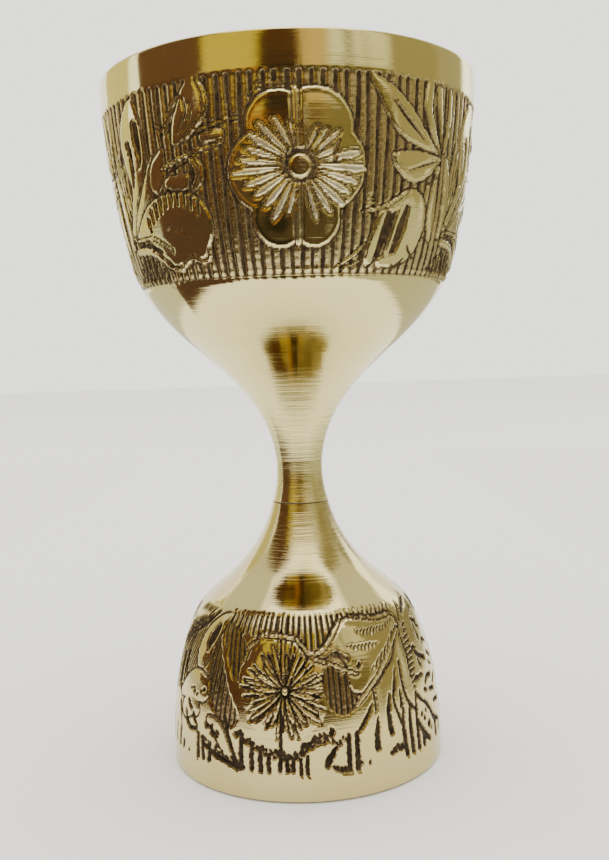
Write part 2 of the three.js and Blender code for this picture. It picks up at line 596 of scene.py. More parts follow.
def flutes(work, region=None, pitch=flute_pitch, lean=0.0, depth=0.42, ridge_height=0.3,
           film=0.34, seed=1):
    """Strokes side by side, over a region or the whole band; lean is degrees across for each mm."""
    chance = np.random.default_rng(seed)
    columns = 720
    shift = chance.uniform(-1, 1, columns)
    x = work.angles + lean * (work.heights - work.heights.mean())
    x = x + 0.16 * np.sin(work.heights * 0.5 + work.angles)
    column = np.floor(x / pitch).astype(int) % columns
    phase = x / pitch + 0.06 * shift[(x // 20).astype(int) % columns]
    ridge = np.clip(1.12 * np.abs(np.sin(math.pi * phase)) ** (1.25 + 0.3 * shift[column]), 0, 1)
    skips = 2 * np.sin(1.7 * work.heights + column)
    chatter = np.sin(work.heights * math.tau / 0.8 + 9 * shift[column] + skips)
    split = np.exp(-((phase % 1 - 0.5 - 0.12 * shift[column]) / 0.08) ** 2) * (shift[column] > -0.2)
    level = -depth + ridge_height * ridge - 0.09 * split * ridge + 0.018 * chatter * ridge
    stain = np.clip(1.25 - 1.25 * ridge + 0.4 * split - 0.06 * chatter, film, 1)
    if region is None:
        work.level = level
        work.stain = stain
        return
    near, distance = work.reach(region)
    share = step_down(distance, 0.15)
    work.level[near] = work.level[near] * (1 - share) + level[near] * share
    work.stain[near] = work.stain[near] * (1 - share) + stain[near] * share


# %% [markdown]
# ## The large cup's band
#
# The engraver divides the cup in three and cuts the same garden three times: a six-lobed flower, a
# spray of leaves to its right, a slotted leaf and a half-open bloom to its left. The ground between is
# filled with upright flutes from a round-nosed tool, so that the polished leaves stand out. The flutes
# come first here, and each leaf or flower has its own short list of strokes, laid over them.

# %% The flower
upper_band = (73.3, 99.3)
print("the large cup's band is", round(upper_band[1] - upper_band[0], 1), "mm tall")


def cut_flower(work):
    lobes = ((-2.8, 92.2, 4.2), (7.2, 91.9, 4.8), (-6.4, 86.5, 5.2), (9.6, 87.0, 5.6),
             (-3.4, 80.6, 3.7), (6.8, 80.4, 3.5), (1.5, 86.5, 5.5))
    leave(work, *[[lobe] for lobe in lobes], crown=0.12, edge=0.14, ditch=0.4)
    tint(work, [(2.8, 87.0, 5.4)], 0.3)
    raise_line(work, [(-10, 96, 0.07), (-7, 97.1, 0.09), (1, 97.2, 0.06)], tall=0.02)
    centre = (2.8, 87.0)
    # The beaded stem and the petals get a negative lacquer amount: cut bright, and the brass colours them
    # paler as a painted sheen.
    raise_line(work, [(1.9, 96.3, 0.3), (1.9, 89.2, 0.26)], tall=0.26, beads=0.35, pitch=0.6, film=-0.3)
    raise_line(work, [(2.2, 84.7, 0.26), (1.9, 77.4, 0.3)], tall=0.22, beads=0.15, pitch=0.6, film=-0.35)
    for direction, inner, outer, half in (
            (118, 2.4, 6.8, 0.34), (134, 2.6, 7.6, 0.36), (148, 2.4, 7.8, 0.4), (161, 2.8, 7.4, 0.32),
            (173, 2.6, 8.0, 0.3), (184, 2.6, 9.2, 0.36), (197, 2.6, 7.6, 0.34), (210, 2.5, 7.0, 0.4),
            (225, 2.4, 6.9, 0.38), (240, 2.4, 7.7, 0.38), (254, 2.4, 6.2, 0.3), (-2, 2.4, 9.3, 0.46),
            (-15, 2.6, 8.3, 0.36), (-27, 2.6, 7.6, 0.36), (-40, 2.6, 7.9, 0.4), (-55, 2.4, 7.2, 0.36),
            (-72, 2.4, 7.1, 0.34), (12, 3.4, 8.2, 0.4), (24, 2.3, 4.9, 0.3), (40, 2.6, 6.6, 0.24),
            (52, 2.4, 5.6, 0.2), (65, 2.4, 5.2, 0.2), (103, 2.4, 5.4, 0.22)):
        petal(work, centre, direction, inner, outer, half, tall=0.26, beside=0.8, film=-0.7)
    cut(work, [(13.4, 90.0, 0.1), (12.3, 88.6, 0.16), (12.6, 87.4, 0.1)], depth=0.2)
    cut(work, [(centre[0], centre[1], 2.15)], depth=0.24)
    leave(work, [(centre[0], centre[1], 1.45)], crown=0.5, ditch=0.1)


# %% The spray of leaves on the right
def cut_spray(work):
    leave(work,
          [(49.9, 89.7, 0.15), (41.1, 91.3, 1.1), (34.2, 93.3, 1.9), (28.7, 96.0, 1.35),
           (22.7, 98.6, 0.2)], crown=0.08)
    cut(work, [(29.6, 95.7, 0.08), (35, 93.4, 0.26), (41.6, 91.1, 0.06)], depth=0.3, ripple=0.06)
    leave(work,
          [(49.6, 89.1, 0.15), (45, 88.3, 1.2), (39, 87.6, 1.95), (34, 88.0, 1.3), (30.6, 88.8, 0.2)],
          crown=0.08)
    cut(work, [(48, 88.7, 0.06), (42, 87.9, 0.14), (36.5, 87.0, 0.06)], depth=0.26)
    leave(work, [(49.5, 90.0, 0.1), (45.5, 92.5, 0.5), (42.7, 95.2, 0.75), (43.2, 98.3, 0.7)])
    leave(work, [(50.2, 90.3, 0.1), (48.6, 94.0, 0.4), (47.2, 98.2, 0.5)])
    leave(work, [(51.6, 90.4, 0.12), (53.2, 94.5, 0.4), (53.0, 98.3, 0.3)])
    cut(work, [(40.8, 95.2, 0.12), (43.4, 92.4, 0.26), (46.8, 90.6, 0.08)], depth=0.36)
    cut(work, [(46.4, 95.6, 0.3), (47.8, 93.0, 0.3), (49.7, 90.8, 0.08)], depth=0.38, ripple=0.05)
    leave(work, [(49.2, 87.6, 0.5)], crown=0.1)
    leave(work, [(48.6, 86.2, 0.25), (48.3, 83.0, 0.85), (48.8, 80.0, 0.65), (49.6, 78.3, 0.2)], crown=0.1)
    leave(work, [(45.4, 85.2, 0.3), (44.6, 82.0, 0.45), (45.8, 79.0, 0.25)])
    leave(work, [(53.3, 89.2, 0.3), (55.0, 86.0, 0.8), (55.6, 82.0, 0.75), (54.6, 79.2, 0.4)], crown=0.1)
    leave(work, [(59.0, 90.6, 0.15), (59.6, 87.0, 0.35), (60.4, 83.6, 0.2)])
    leave(work, [(57.4, 91.0, 0.15), (57.8, 87.0, 0.3), (58.4, 83.0, 0.15)])


def cut_lower_leaf(work):
    leave(work,
          [(37.2, 84.2, 0.4), (40.6, 82.6, 1.7), (41.2, 80.0, 1.9), (39.2, 77.4, 1.7), (35, 75.6, 0.9),
           (29, 75.0, 0.6)], [(28.4, 81.4, 0.5), (26.2, 78.2, 0.75), (24.6, 75.2, 0.6)],
           [(35.4, 82.8, 0.6), (33.0, 79.4, 0.35), (31.2, 76.2, 0.35)],
           [(31.5, 82.2, 0.7), (36.6, 83.6, 0.7)], crown=0.1)
    cut(work, [(30.8, 81.1, 0.5), (29.4, 78.6, 0.65), (27.6, 76.0, 0.3)], depth=0.4, ripple=0.07)
    cut(work, [(37.2, 82.4, 0.25), (35.8, 80.0, 0.5), (33.6, 76.4, 0.25)], depth=0.34, ripple=0.07)
    raise_line(work, [(21.3, 81.4, 0.1), (27, 81.9, 0.14), (32, 83.0, 0.14), (36.8, 84.4, 0.12)],
               tall=0.12, beads=0.5, pitch=0.8)
    raise_line(work, [(22.6, 82.4, 0.12), (25.2, 82.5, 0.1)], [(22.9, 83.2, 0.1), (25.0, 83.1, 0.08)],
               tall=0.05)
    raise_line(work, [(14.4, 74.4, 0.12), (19.5, 75.9, 0.16), (23.2, 77.4, 0.1)], tall=0.08, beads=0.5,
               pitch=0.7)
    raise_line(work, [(16.0, 74.0, 0.08), (22.0, 75.2, 0.1)], tall=0.0)
    cut(work, [(34, 74.7, 0.08), (36, 74.6, 0.22), (38.4, 75.6, 0.1)],
        [(39, 77.4, 0.1), (41, 76.4, 0.2), (44, 75.6, 0.1)], depth=0.34)


# %% The slotted leaf and the bloom on the left
def cut_slotted_leaf(work):
    leave(work,
          [(-62, 80.6, 0.5), (-54, 82.8, 0.95), (-48, 85.7, 1.15), (-44.6, 87.9, 1.0),
           (-43.2, 89.8, 0.3)], crown=0.1)
    leave(work,
          [(-49.6, 98.2, 0.25), (-51, 96.4, 1.6), (-52, 93.6, 2.75), (-51.8, 90.2, 2.5), (-53, 86.9, 1.2),
           (-56.2, 84.4, 0.65), (-61, 81.2, 0.5)], crown=0.12)
    cut(work, [(-53.6, 92.5, 0.58), (-52.8, 90.8, 0.42), (-52.8, 88.8, 0.34), (-54.2, 86.8, 0.1)],
        depth=0.42, ripple=0.05)
    cut(work, [(-49.0, 94.7, 0.62), (-48.7, 92.6, 0.68), (-48.4, 90.6, 0.4), (-48.9, 89.4, 0.12)],
        depth=0.42, ripple=0.07)
    leave(work, [(-43.3, 86.0, 0.7), (-41.9, 87.6, 1.35), (-40.4, 89.3, 0.9), (-38.4, 90.6, 0.2)],
          crown=-0.1)
    hatch(work, [(-62, 92, 0.5), (-60.4, 88, 1.1), (-60.6, 85, 0.6)], 84, pitch=0.9, depth=0.42)


def cut_veined_leaf(work):
    leave(work,
          [(-34.2, 91.3, 0.2), (-29.8, 93.2, 1.7), (-27.0, 95.4, 2.1), (-26.2, 97.4, 1.4),
           (-26.6, 98.9, 0.4)], crown=0.12)
    cut(work, [(-32, 92.3, 0.06), (-28.7, 94.6, 0.18), (-29.2, 96.8, 0.1)],
        [(-30.6, 92.2, 0.05), (-27.2, 94.2, 0.12), (-26.9, 95.8, 0.05)], depth=0.24)
    raise_line(work,
               [(-24.6, 98.8, 0.12), (-22.8, 97, 0.22), (-22.6, 95, 0.24), (-24.6, 93.4, 0.18),
                (-30, 91.4, 0.1)], tall=0.12, beads=0.4, pitch=0.5)
    raise_line(work, [(-39.2, 93.8, 0.1), (-36.4, 92.9, 0.14), (-34.6, 94.9, 0.14), (-30.6, 96.9, 0.1)],
               tall=0.02)
    leave(work, [(-24.6, 91.4, 0.35), (-19.6, 91.4, 0.8)], crown=0.1)
    raise_line(work, [(-39.2, 88.3, 0.12), (-30, 89.5, 0.16), (-18.4, 90.5, 0.1)], tall=0.1)
    raise_line(work, [(-26, 92.3, 0.08), (-20, 92.9, 0.1), (-13.5, 93.4, 0.08)], tall=0.06)
    cut(work, [(-38, 87.6, 0.1), (-30, 88.6, 0.16), (-26, 88.9, 0.1)], depth=0.36)
    leave(work, [(-37.6, 86.3, 0.7), (-31.4, 86.2, 0.9)], crown=0.05)
    leave(work, [(-28.6, 88.9, 0.3), (-27.2, 87.2, 0.9), (-28.8, 85.3, 0.4)], crown=0.15)
    cut(work, [(-28.8, 88.2, 0.2), (-28.4, 87, 0.4), (-29.2, 85.9, 0.2)], depth=0.3)
    raise_line(work, [(-27.8, 89.3, 0.08), (-25.8, 88, 0.14), (-26, 86, 0.16), (-29.6, 84.8, 0.1)],
               tall=0.14)


def cut_bloom(work):
    leave(work,
          [(-58, 79.9, 0.5), (-50, 81.5, 1.6), (-44, 80.9, 3.6), (-38, 80.4, 4.6), (-33.6, 80.4, 4.4)],
          [(-30.6, 79.5, 1.7), (-29.2, 77.6, 1.4)], [(-40, 77.6, 2.0)], crown=0.16, edge=0.1)
    for tick in range(10):
        angle = -49.2 + 2.35 * tick
        top = 84.9 - 0.01925 * (angle + 37) ** 2
        cut(work, [(angle, top + 0.1, 0.26), (angle * 0.97 - 1.1, top - 1.5, 0.12)], depth=0.36)
    raise_line(work, [(-60, 79.8, 0.12), (-50, 79.7, 0.14), (-45, 78.8, 0.14), (-40.8, 77.6, 0.08)],
               tall=0.14)
    cut(work, [(-42, 80.6, 0.05), (-37, 80.2, 0.09), (-31.8, 79.2, 0.05)], depth=0.16)
    raise_line(work,
               [(-45, 75.6, 0.16), (-40.4, 75.0, 0.2), (-36.6, 75.7, 0.2), (-33.4, 76.4, 0.2),
                (-30.4, 75.8, 0.2), (-27.4, 76.0, 0.2), (-26.2, 77.2, 0.12)], tall=0.12)
    cut(work, [(-58, 79.1, 0.1), (-52, 78.9, 0.26), (-46, 77.6, 0.2)], depth=0.36)
    leave(work, [(-62, 78.3, 0.4), (-54, 78.1, 0.4), (-48.4, 77.0, 0.35), (-44.6, 75.6, 0.25)])


def cut_fan(work):
    """The small fan of slanted cuts in the bottom corner between two gardens."""
    for tick in range(13):
        angle = -67.6 + 1.75 * tick
        top = 77.2 - 0.022 * (angle + 57) ** 2
        cut(work, [(angle, top, 0.2), (angle - work.lean * 1.9, 74.2, 0.24)], depth=0.42)


# %% The whole large band
def engrave_upper(angles, heights):
    work = Band(angles, heights, radius=27, waver=0.05)
    flutes(work)
    for turn, lean in ((0, 1), (120, -1), (240, 1)):
        work.turn = turn
        work.lean = lean
        cut_slotted_leaf(work)
        cut_veined_leaf(work)
        cut_bloom(work)
        cut_fan(work)
        cut_spray(work)
        cut_lower_leaf(work)
        cut_flower(work)
    low, high = upper_band
    ends = np.abs(np.sin(math.pi * angles / flute_pitch)) ** 0.6
    foot_row = np.exp(-((heights - low - 0.75) / 0.26) ** 2) * ends
    foot_row *= 0.55 + 0.45 * np.sin(angles * 0.13 + 0.4) * np.sin(angles * 0.031 + 1.2)
    work.level += 0.3 * foot_row
    work.stain *= 1 - 0.9 * foot_row
    base_line = np.exp(-((heights - low - 0.2) / 0.13) ** 2)
    head_row = np.exp(-((heights - high + 0.75) / 0.25) ** 2) * (1 - ends)
    work.stain = darker(work.stain, np.maximum(0.9 * base_line, head_row))
    within = step_down(low + 0.3 - heights, 0.2) * step_down(heights - high + 0.5, 0.22)
    work.level = work.level * within - 0.12 * base_line
    work.stain *= step_down(low - heights, 0.1) * within ** 0.3
    return work.level, work.stain

# %% [markdown]
# ## The small cup's band
#
# The bell is cut more freely. Most of its polished face is left plain, the cuts are deep and dark, and
# only a few patches are fluted. Two gardens go round it: a many-petalled flower with a beaded stem, a
# wide leaf with dark slots, a second leaf below it, and loose punched marks where they end.

# %% The bell's flower
lower_band = (3.8, 25.3)
print("the small cup's band is", round(lower_band[1] - lower_band[0], 1), "mm tall")


def cut_bell_flower(work):
    centre = (-9.2, 15.4)
    leave(work, [(-9.2, 15.6, 6.6)], [(-20.0, 17.0, 3.6)], [(-14.5, 19.4, 3.0)], [(2.8, 16.0, 2.2)],
          crown=0.16, ditch=0.0)
    rays(work, centre, 30, 0.7, 5.9, 0.15, seed=6)
    # Each petal gets a negative lacquer amount: cut bright, and the brass colours it paler as a painted
    # sheen.
    petals = 26
    for number in range(petals):
        direction = 360 / petals * number + 4 * math.sin(2.3 * number)
        outer = 5.5 + 1.0 * math.sin(1.7 * number)
        half_width = 0.2 + 0.05 * math.sin(3.1 * number)
        petal(work, centre, direction, 0.8, outer, half_width, tall=0.22, film=-0.2)
    raise_line(work, [(-10.4, 25.0, 0.24), (-10.2, 20.6, 0.2), (-9.8, 17.4, 0.14)], tall=0.2, beads=0.4,
               pitch=0.55)
    raise_line(work, [(-12.3, 25.0, 0.14), (-12.0, 20.6, 0.12)], tall=0.1, beads=0.3, pitch=0.55)
    cut(work, [(-10.6, 13.0, 0.12), (-10.6, 9.0, 0.2), (-11.0, 4.6, 0.26)], depth=0.4, ripple=0.1)
    raise_line(work,
               [(-23.0, 22.4, 0.1), (-18, 22.8, 0.16), (-4.4, 22.3, 0.16), (1.4, 20.2, 0.18),
                (8.2, 19.2, 0.16)], tall=0.2)
    raise_line(work, [(-28.0, 19.4, 0.1), (-26.0, 21.2, 0.16), (-22.8, 21.9, 0.1)], tall=0.14)


# %% The wide leaf and the one below it
def cut_wide_leaf(work):
    flutes(work, [(10.6, 17.2, 1.4), (12.6, 14.8, 1.9), (15.6, 14.0, 2.0), (16.4, 16.2, 1.2)], pitch=2.35,
           depth=0.42, ridge_height=0.36, seed=7)
    leave(work,
          [(7.4, 20.3, 0.5), (12, 21.4, 0.9), (18, 22.2, 1.8), (26, 20.9, 3.6), (33, 20.6, 3.5),
           (41, 21.9, 2.2), (48, 22.8, 1.2), (52.6, 22.6, 0.25)],
           [(22.5, 16.2, 1.6), (26, 17.6, 2.6), (34, 19.4, 2.2)], crown=0.15, ditch=0.3)
    raise_line(work,
               [(20.2, 13.0, 0.12), (27, 15.0, 0.17), (34, 17.1, 0.18), (41, 19.4, 0.18),
                (48, 21.4, 0.18), (50.6, 21.9, 0.1)], tall=0.22, beads=0.45, pitch=0.7)
    raise_line(work,
               [(-4.2, 22.4, 0.1), (2.0, 20.4, 0.18), (8.0, 20.9, 0.2), (14, 23.0, 0.2),
                (19.2, 24.9, 0.14)], tall=0.2)
    raise_line(work, [(9.6, 19.1, 0.12), (16, 18.0, 0.16), (22, 17.2, 0.1)], tall=0.12)
    cut(work, [(11.6, 19.7, 0.2), (15, 19.9, 0.42), (18, 19.4, 0.25)], depth=0.2)
    raise_line(work,
               [(24, 24.7, 0.06), (31, 24.4, 0.1), (40, 23.9, 0.1), (50, 24.0, 0.12), (53.2, 22.6, 0.08)],
               tall=0.08)
    for slot in ([(24.6, 22.8, 0.06), (31, 22.5, 0.36), (40, 22.5, 0.3), (49, 23.2, 0.12)],
                 [(19.6, 21.0, 0.1), (25, 20.7, 0.26), (31, 20.7, 0.26), (36, 20.8, 0.06)],
                 [(29.4, 17.4, 0.1), (34, 18.3, 0.36), (40, 19.9, 0.22), (46, 21.7, 0.08)]):
        hatch(work, [(angle, up, 1.4 * half) for angle, up, half in slot], 62, pitch=0.62, depth=0.42)
    stipple(work, [(20, 19.0, 0.5), (23, 18.2, 0.4)], depth=0.3, seed=11)
    for tick in range(9):
        cut(work, [(27.6 + 3.0 * tick, 25.1, 0.1), (26.2 + 3.0 * tick, 24.6, 0.16)], depth=0.36)


def cut_second_leaf(work):
    for line in ([(36.2, 13.7, 0.12), (34.6, 11.2, 0.32), (35.2, 8.2, 0.42)],
                 [(39.5, 15.2, 0.1), (38.2, 12.4, 0.2), (40.6, 9.4, 0.2), (42, 8.2, 0.24)],
                 [(42.2, 13.7, 0.14), (42.0, 11.4, 0.26)],
                 [(42.6, 11.0, 0.16), (41.8, 8.0, 0.34), (43, 4.2, 0.4)],
                 [(45.2, 17.6, 0.12), (44.4, 15, 0.2), (46, 12, 0.26), (49.8, 10.2, 0.14)],
                 [(46.8, 11.4, 0.16), (46.0, 8, 0.38), (47, 4.2, 0.42)],
                 [(51.8, 12.4, 0.14), (50.6, 8, 0.36), (51.2, 4.2, 0.42)],
                 [(29.2, 10.8, 0.14), (28.2, 8.4, 0.38), (28.2, 6.6, 0.44)],
                 [(28.2, 15.0, 0.06), (28.8, 12.8, 0.14), (28.4, 11.6, 0.08)],
                 [(27.2, 12.9, 0.1), (23.4, 10.8, 0.26), (20.6, 9.5, 0.2)],
                 [(41.6, 16.8, 0.08), (40.2, 15.2, 0.16), (39.2, 13.6, 0.08)]):
        cut(work, line, depth=0.42, ripple=0.06)
    hatch(work, [(57.6, 22.0, 0.5), (54.6, 19.0, 0.95), (53.0, 16.0, 0.85), (52.0, 13.2, 0.35)], 10,
          pitch=0.75)
    cut(work, [(50.9, 20.8, 0.1), (51.8, 18.2, 0.22), (51.0, 15.0, 0.2)],
        [(60, 23.4, 0.2), (66, 24.3, 0.24), (73, 24.9, 0.1)], depth=0.4)
    raise_line(work, [(51.4, 20.6, 0.1), (55.2, 22.4, 0.16), (60.4, 24.6, 0.1)], tall=0.08)
    stipple(work, [(34.2, 4.9, 0.25), (37.6, 5.6, 0.4), (41, 5.4, 0.35)], seed=13)


def cut_loose_marks(work):
    for mark in ([(57, 18.0, 0.2), (59, 18.5, 0.2), (60.6, 18.2, 0.14)],
                 [(59.8, 17.6, 0.3), (63, 16.8, 0.26), (67.6, 16.1, 0.26)],
                 [(60.2, 16.4, 0.22), (61, 15.7, 0.26)], [(69.4, 22.9, 0.16), (72, 23.4, 0.2)],
                 [(66.8, 22.0, 0.16), (71.6, 21.3, 0.26)], [(66.4, 21.2, 0.12), (67.6, 19.2, 0.24)],
                 [(70, 20.8, 0.2), (73.6, 20.4, 0.14)],
                 [(70, 18.2, 0.16), (72.6, 18.5, 0.2), (76, 17.9, 0.14)],
                 [(73, 16.4, 0.2), (77, 15.6, 0.24)], [(54, 14.2, 0.24), (57.4, 14.2, 0.14)],
                 [(58.6, 14.3, 0.2), (60.4, 14.3, 0.14)],
                 [(62, 12.8, 0.14), (64, 13.4, 0.2), (69.6, 13.4, 0.2)],
                 [(72, 15.0, 0.2), (75, 14.4, 0.14)], [(59.9, 12.0, 0.22), (62, 11.8, 0.14)],
                 [(65.4, 11.5, 0.2), (71, 11.1, 0.2)], [(71, 12.0, 0.16), (76, 12.9, 0.14)],
                 [(52.4, 12.4, 0.18), (55, 11.2, 0.2), (57, 10.6, 0.12)],
                 [(68, 9.4, 0.2), (75, 9.0, 0.24)],
                 [(58.4, 10.3, 0.24), (62.6, 8.8, 0.26), (66, 7.1, 0.3), (73, 6.0, 0.14)],
                 [(52, 8, 0.16), (55.6, 5.8, 0.36), (60.4, 4.5, 0.2)],
                 [(54.8, 5.6, 0.3), (55.2, 4.3, 0.3)], [(67, 6.6, 0.34), (67.6, 4.3, 0.34)],
                 [(72.4, 6.0, 0.2), (72.6, 4.6, 0.24)], [(54.8, 8.9, 0.24)], [(56.6, 8.1, 0.26)],
                 [(58.1, 9.1, 0.2)], [(60.4, 6.8, 0.42)], [(62.6, 5.9, 0.16)]):
        cut(work, [(angle, up, 1.3 * half) for angle, up, half in mark], depth=0.4)
    for stem in range(5):
        angle = 80 + 5.2 * stem
        cut(work, [(angle, 7.8 + stem % 2, 0.12), (angle + 1.4, 4.2, 0.36)], depth=0.42)
    leave(work, [(84, 10.5, 0.3), (87, 14.5, 1.9), (90, 18.0, 1.5), (92, 21.5, 0.4)], crown=0.1)
    hatch(work, [(86.4, 12.4, 0.2), (88.4, 15.4, 0.6), (90, 18.6, 0.16)], 60, pitch=0.55)
    flutes(work, [(97, 23.2, 1.3), (82, 23.4, 1.2)], pitch=2.9, seed=9)


# %% The slotted leaf and the round leaf on the left
def cut_left_leaves(work):
    for stroke in range(9):
        back = 3.0 * stroke
        down = 0.3 * stroke
        cut(work,
            [(-53 - back, 24.6 - down, 0.16), (-60 - back, 21.4 - down, 0.28), (-63 - back, 17.4, 0.3),
             (-61.5 - back, 13.6 - down, 0.2)], depth=0.42)
    hatch(work,
          [(-56, 23.4, 0.6), (-62, 21.2, 1.2), (-65, 18.6, 1.3), (-63.5, 15.8, 1.2), (-60.6, 17.0, 1.0),
           (-59.4, 19.4, 0.6)], 66, pitch=0.62, depth=0.4)
    cut(work,
        [(-51.5, 24.8, 0.14), (-58, 23.0, 0.3), (-64.4, 21.6, 0.26), (-67.6, 19.2, 0.26),
         (-67.4, 16.6, 0.24), (-64.8, 13.8, 0.14)], depth=0.42)
    flutes(work, [(-45.4, 20.6, 1.0), (-42.4, 16.6, 1.8), (-38.4, 13.4, 2.0), (-33.6, 11.4, 1.6)],
           pitch=2.5, lean=-0.2, seed=17)
    flutes(work, [(-38.8, 22.4, 1.3), (-33.6, 20.6, 1.9), (-30.6, 17.4, 1.2)], pitch=2.7, lean=0.4, seed=19)
    leave(work,
          [(-42, 24.7, 0.3), (-47, 23.2, 1.25), (-51, 21.2, 1.75), (-53.5, 19.2, 1.75), (-54, 17.5, 0.8),
           (-53.6, 16.8, 0.25)], crown=0.16)
    cut(work, [(-46.4, 23.2, 0.36), (-48.4, 22.0, 0.74), (-50.4, 20.8, 0.68), (-50.7, 19.6, 0.2)],
        depth=0.42, ripple=0.06)
    leave(work, [(-67, 12.4, 0.7), (-61, 13.6, 1.6), (-55, 14.4, 2.1), (-50.4, 14.2, 1.9)],
          [(-61, 10.4, 1.4), (-57, 11.2, 1.4), (-53.4, 11.0, 1.0)], crown=0.16)
    leave(work, [(-43.4, 10.2, 0.5), (-39.6, 9.6, 0.9), (-35.4, 7.4, 0.8), (-31.6, 5.2, 0.4)], crown=0.05)
    for line in ([(-57.8, 13.7, 0.08), (-55.4, 13.9, 0.14)], [(-54.6, 13.4, 0.26)], [(-52.6, 13.3, 0.16)],
                 [(-48.2, 14.1, 0.28), (-49.6, 13.9, 0.12)], [(-59, 11.9, 0.16), (-55.6, 10.8, 0.2)],
                 [(-60.6, 10.1, 0.3), (-59.4, 8.8, 0.34), (-56, 7.9, 0.34), (-51.6, 8.2, 0.3)],
                 [(-54.6, 10.2, 0.28), (-51.4, 8.6, 0.12)],
                 [(-68, 10.8, 0.24), (-66.2, 9, 0.24), (-65.4, 7.8, 0.14)],
                 [(-65.6, 7.1, 0.36), (-67, 4.3, 0.4)],
                 [(-70.6, 12.4, 0.3), (-74, 15.4, 0.5), (-74.4, 17.6, 0.3)],
                 [(-62, 5.2, 0.36), (-62.8, 4.3, 0.3)], [(-57.4, 4.4, 0.26)],
                 [(-50.2, 7.6, 0.3), (-50.4, 4.3, 0.42)], [(-47.6, 7.4, 0.26), (-46.8, 4.4, 0.38)],
                 [(-43.0, 5.6, 0.3), (-43.2, 4.4, 0.4)], [(-71, 7.0, 0.16), (-72, 4.4, 0.3)]):
        cut(work, line, depth=0.42)
    cut(work, [(-47.2, 6.6, 0.2), (-41, 5.6, 0.34), (-35.4, 5.0, 0.3), (-30, 4.4, 0.3)], depth=0.4,
        ripple=0.1)
    stipple(work, [(-46, 7.0, 0.25), (-40, 6.2, 0.5), (-34, 5.2, 0.4)], seed=23)
    stipple(work, [(-45, 9.6, 0.3), (-41.6, 8.7, 0.45), (-38.6, 8.3, 0.3)], seed=29)
    cut(work, [(-35.6, 11.4, 0.2), (-33, 8.4, 0.26), (-29.2, 4.8, 0.34)], depth=0.42, ripple=0.06)
    for tick in range(6):
        cut(work, [(-56 - 2.6 * tick, 25.2, 0.1), (-58.6 - 2.6 * tick, 24.4, 0.16)], depth=0.36)


# %% The row of ticks and punched marks at the foot
def cut_foot_marks(work):
    stipple(work,
            [(-30, 9.4, 0.4), (-26, 8.6, 0.45), (-20, 7.4, 0.4), (-12, 6.7, 0.5), (-5, 6.4, 0.4),
             (-1.4, 7.6, 0.6), (4, 8.8, 0.4), (10.4, 10.0, 0.35)], spacing=0.42, seed=31)
    stipple(work, [(2.6, 9.0, 0.3), (9.6, 8.4, 0.4), (14, 8.6, 0.3)], spacing=0.6, seed=37)
    for angle, top, bottom, half in (
            (-27.0, 8.8, 4.6, 0.34), (-22.4, 8.2, 4.5, 0.3), (-18.8, 6.9, 4.4, 0.32),
            (-15.4, 6.8, 4.4, 0.28), (-8.2, 6.2, 4.6, 0.26), (-5.8, 6.3, 4.6, 0.26),
            (-2.9, 6.2, 3.9, 0.2), (-0.4, 6.6, 4.1, 0.24), (16.0, 9.2, 4.0, 0.3), (19.4, 9.2, 4.1, 0.34)):
        cut(work,
            [(angle, top, half * 0.8), (angle - 0.2, (top + bottom) / 2, half), (angle, bottom, half)],
            depth=0.42, ripple=0.06)
    cut(work, [(10.6, 7.6, 0.18), (8.2, 6.2, 0.42), (7.0, 5.2, 0.34)], depth=0.4, ripple=0.1)
    stipple(work, [(9.6, 4.6, 0.2), (12.6, 4.4, 0.3), (14.6, 4.0, 0.2)], seed=41)
    stipple(work, [(20.6, 5.2, 0.3), (24, 4.8, 0.25)], seed=43)
    cut(work, [(-31.5, 5.6, 0.2), (-29.6, 4.5, 0.4), (-26.2, 4.6, 0.3)], depth=0.42, ripple=0.08)


# %% The whole small band
def engrave_lower(angles, heights):
    work = Band(angles, heights, radius=20.5, waver=0.08)
    for turn in (0, 180):
        work.turn = turn
        # The ridges of these flutes get a negative lacquer amount: cut bright, and the brass colours them
        # paler as a painted highlight.
        flutes(work, [(-42, 23.9, 1.2), (-30, 23.9, 1.3), (24, 23.9, 1.3)], pitch=2.9, film=-0.3, seed=2)
        flutes(work, [(2, 22.2, 1.4), (9, 22.6, 1.4)], pitch=2.9, film=-0.3, seed=2)
        cut_left_leaves(work)
        cut_loose_marks(work)
        cut_bell_flower(work)
        cut_wide_leaf(work)
        cut_second_leaf(work)
        cut_foot_marks(work)
    low, high = lower_band
    within = step_down(low + 0.1 - heights, 0.2) * step_down(heights - high + 0.15, 0.2)
    return work.level * within, work.stain * within

# %% [markdown]
# ## Cutting the bands into the turned halves
#
# Each point of the dense band is looked up by its angle and its height, and moved in or out by what the
# engraver did there. Plain parts get their turning marks the same way, as rings a few hundredths of a
# millimetre deep. How much lacquer was left at each point is kept on the mesh, for the brass to read.

# %% Putting the outer skin on its true curve, cut and all
seam_stain = 0.62


def turning_rings(heights, places):
    """Fine grooves left by the tool: (height, half width, depth) in mm."""
    level = np.zeros_like(heights)
    for place, half, depth in places:
        level -= depth * np.exp(-((heights - place) / half) ** 2)
    return level


